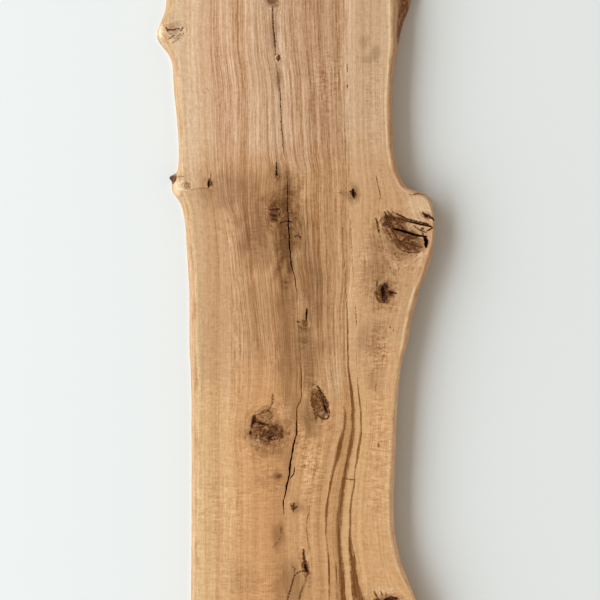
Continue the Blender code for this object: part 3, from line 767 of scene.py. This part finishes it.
class Finish:
    """One material's nodes. Each comes from make: its type, its settings, its sockets' values or links."""

    def __init__(self, name):
        self.material = bpy.data.materials.new(name)
        self.material.use_nodes = True
        self.tree = self.material.node_tree
        self.shader = self.tree.nodes["Principled BSDF"]

    def make(self, kind, settings=None, inputs=None, output=0):
        node = self.tree.nodes.new(kind)
        for name, value in (settings or {}).items():
            if name == "stops":
                self.set_stops(node.color_ramp, value)
            else:
                setattr(node, name, value)
        for name, value in (inputs or {}).items():
            self.feed(node.inputs[name], value)
        return Wire(self, node.outputs[output])

    def feed(self, socket, value):
        if isinstance(value, Wire):
            self.tree.links.new(value.socket, socket)
        else:
            socket.default_value = value

    def set_stops(self, ramp, stops):
        while len(ramp.elements) < len(stops):
            ramp.elements.new(0.5)
        for element, (place, colour) in zip(ramp.elements, stops):
            element.position = place
            element.color = colour

    def field(self, name):
        return self.make("ShaderNodeAttribute", {"attribute_name": name}, output="Fac")

    def noise(self, x, y, z, detail=2.0, roughness=0.5, distortion=0.0):
        place = self.make("ShaderNodeCombineXYZ", None, {"X": x, "Y": y, "Z": z})
        values = {"Vector": place, "Scale": 1.0, "Detail": detail}
        values.update({"Roughness": roughness, "Distortion": distortion})
        return self.make("ShaderNodeTexNoise", {"noise_dimensions": "3D"}, values)

    def blend(self, share, first, second, way="MIX"):
        settings = {"data_type": "RGBA", "blend_type": way, "clamp_factor": True}
        return self.make("ShaderNodeMix", settings, {0: share, 6: first, 7: second}, output=2)

    def tint(self, share, colour, by):
        """The colour multiplied by another, as far as share says."""
        return self.blend(share, colour, (*by, 1.0), "MULTIPLY")

    def ramp(self, value, stops):
        return self.make("ShaderNodeValToRGB", {"stops": stops}, {"Fac": value})

    def toned(self, value, tones):
        """The tone at this value, out of (place, red, green, blue) rows."""
        return self.ramp(value, [(place, tone(*rgb)) for place, *rgb in tones])


FACE_LIGHT = 1.1
FACE_SHINE = 0.019


def paint(red, green, blue):
    """A colour given as display values from 0 to 255, as the linear colour a shader takes."""
    linear = [c / 255 / 12.92 if c <= 10 else ((c / 255 + 0.055) / 1.055) ** 2.4 for c in (red, green, blue)]
    return (*linear, 1.0)


def tone(red, green, blue):
    """The pigment that looks like this colour on the board's lit face, with its faint shine."""
    return (*(max(c - FACE_SHINE, 0.003) / FACE_LIGHT for c in paint(red, green, blue)[:3]), 1.0)


GRAIN_SPAN = 400
# The wood's colour by mm across the grain from the pith, at the head end, in the middle and at the foot.
HEAD_TONES = (
    (-200, 226, 192, 154), (-165, 222, 188, 150), (-140, 227, 189, 150), (-120, 209, 166, 128),
    (-65, 214, 173, 135), (-12, 209, 171, 136), (25, 202, 161, 124), (57, 189, 146, 110),
    (76, 198, 157, 119), (88, 217, 178, 140), (117, 207, 169, 131), (200, 214, 178, 140),
)
MIDDLE_TONES = (
    (-200, 220, 184, 142), (-165, 213, 175, 133), (-145, 208, 165, 121), (-112, 208, 164, 121),
    (-65, 199, 151, 107), (-12, 189, 142, 97), (25, 200, 154, 109), (57, 194, 148, 106),
    (78, 202, 157, 113), (91, 212, 168, 123), (117, 203, 158, 113), (200, 206, 164, 122),
)
FOOT_TONES = (
    (-200, 226, 185, 132), (-147, 222, 180, 129), (-112, 220, 169, 118), (-65, 212, 158, 107),
    (-35, 204, 152, 102), (-12, 196, 145, 97), (25, 212, 164, 114), (57, 206, 158, 110),
    (84, 205, 156, 107), (100, 219, 173, 121), (120, 215, 166, 116), (200, 218, 172, 122),
)
# Year rings that stand out along most of the board: place across the grain, and how light (1) or dark (-1).
RING_SHADES = (
    (-200, 0), (-152, 0.15), (-143, 0), (-138, -0.9), (-134, 0.2), (-131, 0.6), (-124, 0.1), (-117, -0.7),
    (-112, 0.1), (-105, 0.6), (-99, -0.4), (-92, 0.5), (-84, 0), (-76, -0.8), (-68, 0.3), (-58, 0.8),
    (-40, 0.3), (-26, 0), (-10, 0.4), (-3, -0.3), (6, 0.7), (12, 0.3), (17, -0.45), (30, 0.5),
    (38.5, -0.9), (44.5, 0.9), (51, -0.8), (65, 0.7), (78, -0.9), (87, 0.8), (100, 0), (143, 0.5),
)
EDGE_TONES = (
    (0.3, 196, 148, 106), (0.45, 214, 170, 127), (0.58, 224, 181, 138), (0.74, 232, 198, 156),
)
# What the live edges' tone is multiplied by, all painted light and shade: painted shade at the left, where the
# edge faces the lamp, painted light at the right near the foot, where it faces away from the lamp, and painted
# shade low down, which keeps the edges from throwing warm light on the floor.
LEFT_EDGE_PAINTED_SHADE = (0.72, 0.70, 0.64)
RIGHT_EDGE_PAINTED_LIGHT = (1.45, 1.48, 1.52)
LOW_EDGE_PAINTED_SHADE = (0.26, 0.25, 0.25)
# What the wood is multiplied by: in stains, at the dark and light ends of its figure, in saw marks, on the saw
# cuts and in the scrap of bark at the left, which is darker bark and also painted shade, as it faces the lamp.
STAIN_TINT = (0.30, 0.222, 0.13)
DARK_GRAIN, LIGHT_GRAIN = (0.62, 0.465, 0.25), (1.38, 1.53, 1.77)
SAW_TINT, END_TINT = (0.55, 0.5, 0.45), (0.72, 0.64, 0.56)
LEFT_BARK_DARK_AND_SHADE = (0.34, 0.32, 0.32)
STREAK_TONE, PORE_TONE, FLECK_TONE = tone(122, 77, 43), tone(126, 82, 46), tone(246, 216, 166)
# The first tone here, for the line along both arrises, is pale wood and also a painted highlight.
ARRIS_PALE_AND_HIGHLIGHT_TONE, PALE_TONE, SPLIT_TONE = tone(238, 206, 156), tone(232, 202, 162), tone(60, 40, 28)
MARK_TONES = ((0.0, 158, 110, 68), (0.4, 122, 80, 49), (0.7, 84, 56, 38), (1.0, 60, 44, 34))
KNOT_TONES = (
    (0.36, 72, 48, 32), (0.45, 98, 64, 39), (0.54, 134, 91, 56), (0.67, 186, 139, 94),
)
# The colour in the cracks and hollows is painted shade, mottled by grit.
HOLLOW_PAINTED_SHADE_TONES = ((0.42, 54, 41, 33), (0.64, 114, 74, 49))
BARK_TONES = ((0.35, 106, 66, 46), (0.5, 154, 106, 76), (0.66, 204, 158, 124))


def across_tones(oak, grain, tones):
    return oak.toned(grain / GRAIN_SPAN + 0.5, [(0.5 + place / GRAIN_SPAN, *rgb) for place, *rgb in tones])


def ground_colour(oak, grain, along, clouds):
    """The slow change of the wood's colour over the board."""
    drift = along + (clouds - 0.5) * 160
    foot, middle, head = (across_tones(oak, grain, tones) for tones in (FOOT_TONES, MIDDLE_TONES, HEAD_TONES))
    return oak.blend(drift.between(160, 260), oak.blend(drift.between(-180, -40), foot, middle), head)


def end_grain(oak, across, along, height):
    """How light or dark the saw-cut ends are: rings round the pith and rays out of it."""
    from_pith = across - (along * PITH_DRIFT + PITH_MIDDLE)
    above_pith = height - PITH_HEIGHT
    radius = (from_pith * from_pith + above_pith * above_pith).root()
    wander = oak.noise(across / 24, height / 24, along / 600, 1.0) - 0.5
    rings = oak.noise((radius + wander * 6) / 2.4, along / 600, 0.0, 2.0, 0.55)
    spokes = oak.noise(above_pith.angle(from_pith) * 26, radius / 40, along / 600, 2.0, 0.6)
    pores = oak.noise(across / 0.8, height / 0.8, along / 600, 1.0)
    shade = rings * 1.1 + spokes * 0.5 + pores * 0.5 - 0.23
    splits = spokes.between(0.7, 0.73) * (radius / -90 + 1.2).between(0.0, 0.6)
    return shade, splits


def oak_finish():
    oak = Finish("bare_sanded_oak")
    across, along, height = (part / MM for part in oak.make("ShaderNodeTexCoord", output="Object").parts())
    _, facing_along, facing_up = oak.make("ShaderNodeNewGeometry", output="Normal").parts()
    on_end = abs(facing_along).between(0.7, 0.85)
    on_back = (-facing_up).between(0.7, 0.9)
    grain = oak.field("grain_across") / MM
    halo, wood, rim = (oak.field(name) for name in ("knot_halo", "knot_wood", "knot_rim"))
    stain, pale, curl, mark = (oak.field(name) for name in ("stain", "pale", "curl", "mark"))
    streak, opened, margin, edge, bark = (
        oak.field(name) for name in ("streak", "opened", "margin", "live_edge", "bark")
    )

    sway = oak.noise(across / 45, along / 300, height / 45) - 0.5
    wiggle = oak.noise(across / 6, along / 16, height / 6, 1.0) - 0.5
    laid = grain + sway * 1.8 + wiggle * (halo * 5 + curl * 3 + 0.8)
    clouds = oak.noise(across / 70, along / 110, height / 70 + 5)
    heart = (laid + 130).between(0, 10) * (1 - (laid - 84).between(0, 6)) * (along + 120).between(-60, 60)
    footward = 1 - (along + 40).between(-120, 100)

    rings = oak.noise(laid / 4.6, along / 420, height / 4.6, 1.0)
    lines = oak.noise(laid / 1.7, along / 190, height / 1.7 + 7, 1.0)
    strands = oak.noise(laid / 1.35, along / 26, height / 1.35 + 3, 2.0, 0.6)
    mottle = oak.noise(laid / 2.2, along / 4.4, height / 2.2 + 9, 1.0)
    bend = oak.noise(across / 10, along / 10, height / 10, 1.0) - 0.5
    rays = oak.noise(across / 12, (along + bend * (curl * 9 + 2)) / 2.3, height / 6, 2.0, 0.55)
    pores = oak.noise(laid / 0.9, along / 9, height / 0.9 + 11, 1.0)
    flecks = oak.noise(across / 5, along / 1.5, height / 3 + 21, 1.0)
    greys = [(0.5 + place / GRAIN_SPAN, (0.5 + shade / 2,) * 3 + (1,)) for place, shade in RING_SHADES]
    year_rings = oak.ramp(laid / GRAIN_SPAN + 0.5, greys) - 0.5

    colour = ground_colour(oak, laid, along, clouds)
    soaked = stain * (rings * 0.4 + mottle * 0.3 + (rays - 0.5) * (stain * 3.8 + 0.5) + 0.76)
    colour = oak.tint(soaked, colour, STAIN_TINT)
    streaks = (streak + (strands - 0.5) * 1.9 + (mottle - 0.5) * 1.3).between(-0.5, 0.55)
    by_foot = 1 - along.between(-430, -330)
    streak_share = streaks * (strands * 0.9 + lines * 0.6 + by_foot * 0.1 + 0.14)
    colour = oak.blend(streak_share, colour, STREAK_TONE)

    crumple = oak.noise(across / 4.2, along / 4.2, height / 4.2, 4.0, 0.7, 1.0)
    swirl = oak.noise(rim * 3.2 + wiggle * 2, across / 30, along / 30, 2.0, 0.6)
    ripples = oak.noise(rim * 4.5 + wiggle * 1.5, across / 14, along / 14, 2.0, 0.6)
    knotty = (wood * 1.35 + (crumple - 0.5) * wood.between(0.0, 0.3) * 1.5).between(0.1, 1.05)
    colour = oak.blend(knotty, colour, oak.toned(crumple * 0.8 + swirl * 0.6 - 0.2, KNOT_TONES))

    edge_mottle = oak.noise(across / 12, along / 34, height / 5, 3.0, 0.6)
    edge_tone = oak.toned(edge_mottle, EDGE_TONES)
    leftward = 1 - across.between(-30, 30)
    footside = 1 - along.between(-130, 0)
    # Painted shade on the outer part of the left edge, which faces the lamp; painted light on the right edge
    # near the foot, which faces away from it; painted shade on both edges low down.
    edge_tone = oak.tint(leftward * (-margin).between(1.0, 5.5), edge_tone, LEFT_EDGE_PAINTED_SHADE)
    edge_tone = oak.tint((1 - leftward) * footside, edge_tone, RIGHT_EDGE_PAINTED_LIGHT)
    edge_tone = oak.tint(1 - height.between(16, 26), edge_tone, LOW_EDGE_PAINTED_SHADE)
    planed = margin + (1 - leftward) * footside * 2.4
    colour = oak.blend(edge * (1 - planed.between(-0.6, 0.6)) * 0.9, colour, edge_tone)
    on_bulge = (1 - leftward) * along.between(0, 50) * (1 - along.between(165, 205))
    # A pale line along the arrises, pale wood and also a painted highlight, fainter on the bulge.
    arris_pale_and_highlight = planed.between(-3.2, -1.4) * (1 - planed.between(0.4, 2.6)) * edge_mottle.between(0.26, 0.5)
    colour = oak.blend(arris_pale_and_highlight * (0.62 - on_bulge * 0.56), colour, ARRIS_PALE_AND_HIGHLIGHT_TONE)
    colour = oak.blend(pale * 0.8, colour, PALE_TONE)

    face_share = (
        0.5 + year_rings * (heart * 0.08 + 0.3) + (rings - 0.5) * (heart * 0.08 + 0.3)
        + (lines - 0.5) * (heart * 0.95 + 0.42) + (strands - 0.5) * (heart * 0.8 + curl * 0.9 + 0.38)
        + (mottle - 0.5) * (heart * 0.15 + 0.38) + (rays - 0.5) * (footward * 0.25 + curl * 1.7 + 0.25)
        + (ripples - 0.5) * halo * 2.3 + (crumple - 0.5) * curl * 1.1
    )
    end_share, splits = end_grain(oak, across, along, height)
    share = oak.make("ShaderNodeMix", {"data_type": "FLOAT"}, {0: on_end, 2: face_share, 3: end_share})
    dark, light = (oak.tint(1.0, colour, grain_tint) for grain_tint in (DARK_GRAIN, LIGHT_GRAIN))
    colour = oak.blend(share, dark, light)
    colour = oak.blend(pores.between(0.6, 0.72) * 0.3, colour, PORE_TONE)
    fleck_zone = (clouds.between(0.4, 0.6) * 0.4 + curl * 0.6) * (1 - stain)
    colour = oak.blend(flecks.between(0.68, 0.76) * fleck_zone * 0.45, colour, FLECK_TONE)

    sawn = oak.noise(across / 90, (along + across * 0.04) / 2.6, 3.0, 2.0, 0.6)
    colour = oak.tint(on_back * (1 - sawn.between(0.3, 0.6)) * 0.35, colour, SAW_TINT)
    colour = oak.tint(on_end * 0.6, colour, END_TINT)
    colour = oak.blend(splits * on_end * 0.8, colour, SPLIT_TONE)

    grit = oak.noise(across / 2.4, along / 2.4, height / 2.4, 2.0, 0.6)
    inked = mark * (grit * 3.0 - 0.5)
    colour = oak.blend(inked.between(0.05, 0.68), colour, oak.toned(inked, MARK_TONES))
    bark_grit = oak.noise(across / 4, along / 9, height / 3, 4.0, 0.65)
    # The bark scrap at the left is darker bark and also painted shade, as it faces the lamp.
    bark_tone = oak.tint(leftward, oak.toned(bark_grit, BARK_TONES), LEFT_BARK_DARK_AND_SHADE)
    colour = oak.blend(bark, colour, bark_tone)
    # Painted shade in the cracks and hollows, laid on more fully the deeper they are opened.
    colour = oak.blend(opened.between(0.1, 0.8) * 0.95, colour, oak.toned(grit, HOLLOW_PAINTED_SHADE_TONES))

    oak.feed(oak.shader.inputs["Base Color"], colour)
    roughness = 0.62 - lines * 0.06 + stain * 0.06 + bark * 0.2 + opened * 0.2 + on_end * 0.1
    oak.feed(oak.shader.inputs["Roughness"], roughness)
    relief = (
        lines * 0.3 + strands * 0.3 - pores.between(0.55, 0.75) * 0.5 + rays * 0.2 + crumple * wood * 1.4
        + bark_grit * bark * 2.5 + edge_mottle * edge * 1.2 + sawn * on_back * 1.4 + mark * -0.6
    )
    bump = oak.make("ShaderNodeBump", None, {"Strength": 0.4, "Distance": 0.4 * MM, "Height": relief})
    oak.feed(oak.shader.inputs["Normal"], bump)
    oak.shader.inputs["Specular IOR Level"].default_value = 0.2
    return oak.material


def put(name, data):
    """A new object with this data, in the scene."""
    thing = bpy.data.objects.new(name, data)
    bpy.context.scene.collection.objects.link(thing)
    return thing


def build_board():
    mesh, arrises = board_mesh()
    mark_surface(mesh, arrises, *open_face(mesh))
    board = put("oak_slab", mesh)
    mesh.shade_smooth()
    mesh.set_sharp_from_angle(angle=math.radians(38))
    mesh.materials.append(oak_finish())
    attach(board, "root")
    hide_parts("slab")


FLOOR_SIZE = 24.0
FLOOR_GAP = 0.3 * MM
CAMERA_LENS = 200
SENSOR = 36
VIEW_HEIGHT = 0.9
VIEW_ACROSS = 6 * MM
WINDOW_PLACE = (-6.0, 0, 3.6)
WINDOW_SIZE = (16.0, 7.0)
WINDOW_POWER = 1240
WINDOW_TINT = (0.90, 1.0, 1.10)
ROOM_TINT = (1.17, 1.0, 0.84, 1)
ROOM_STRENGTH = 0.36


def build_floor():
    mesh = bpy.data.meshes.new("floor")
    half = FLOOR_SIZE / 2
    corners = [(-half, -half, 0), (half, -half, 0), (half, half, 0), (-half, half, 0)]
    mesh.from_pydata(corners, [], [(0, 1, 2, 3)])
    floor = put("floor", mesh)
    floor.location.z = -FLOOR_GAP
    finish = Finish("pale_floor")
    finish.shader.inputs["Base Color"].default_value = paint(229, 232, 229)
    finish.shader.inputs["Roughness"].default_value = 0.9
    finish.shader.inputs["Specular IOR Level"].default_value = 0.1
    mesh.materials.append(finish.material)


def build_light():
    lamp = bpy.data.lights.new("window_light", "AREA")
    lamp.shape = "RECTANGLE"
    lamp.size, lamp.size_y = WINDOW_SIZE
    lamp.energy = WINDOW_POWER
    lamp.color = WINDOW_TINT
    window = put("window_light", lamp)
    window.location = WINDOW_PLACE
    window.rotation_euler = (-Vector(WINDOW_PLACE)).to_track_quat("-Z", "Y").to_euler()
    window.visible_camera = False
    world = bpy.data.worlds.new("room_light")
    world.use_nodes = True
    room = world.node_tree.nodes["Background"]
    room.inputs["Color"].default_value = ROOM_TINT
    room.inputs["Strength"].default_value = ROOM_STRENGTH
    bpy.context.scene.world = world
    bpy.context.scene.view_settings.view_transform = "Standard"


def build_camera():
    data = bpy.data.cameras.new("camera")
    data.lens = CAMERA_LENS
    data.sensor_width = SENSOR
    data.clip_end = 50
    distance = VIEW_HEIGHT / 2 / (SENSOR / 2 / CAMERA_LENS)
    camera = put("camera", data)
    camera.location = (VIEW_ACROSS, 0, FACE + distance)
    bpy.context.scene.camera = camera


build_camera()
build_light()
build_floor()
build_board()
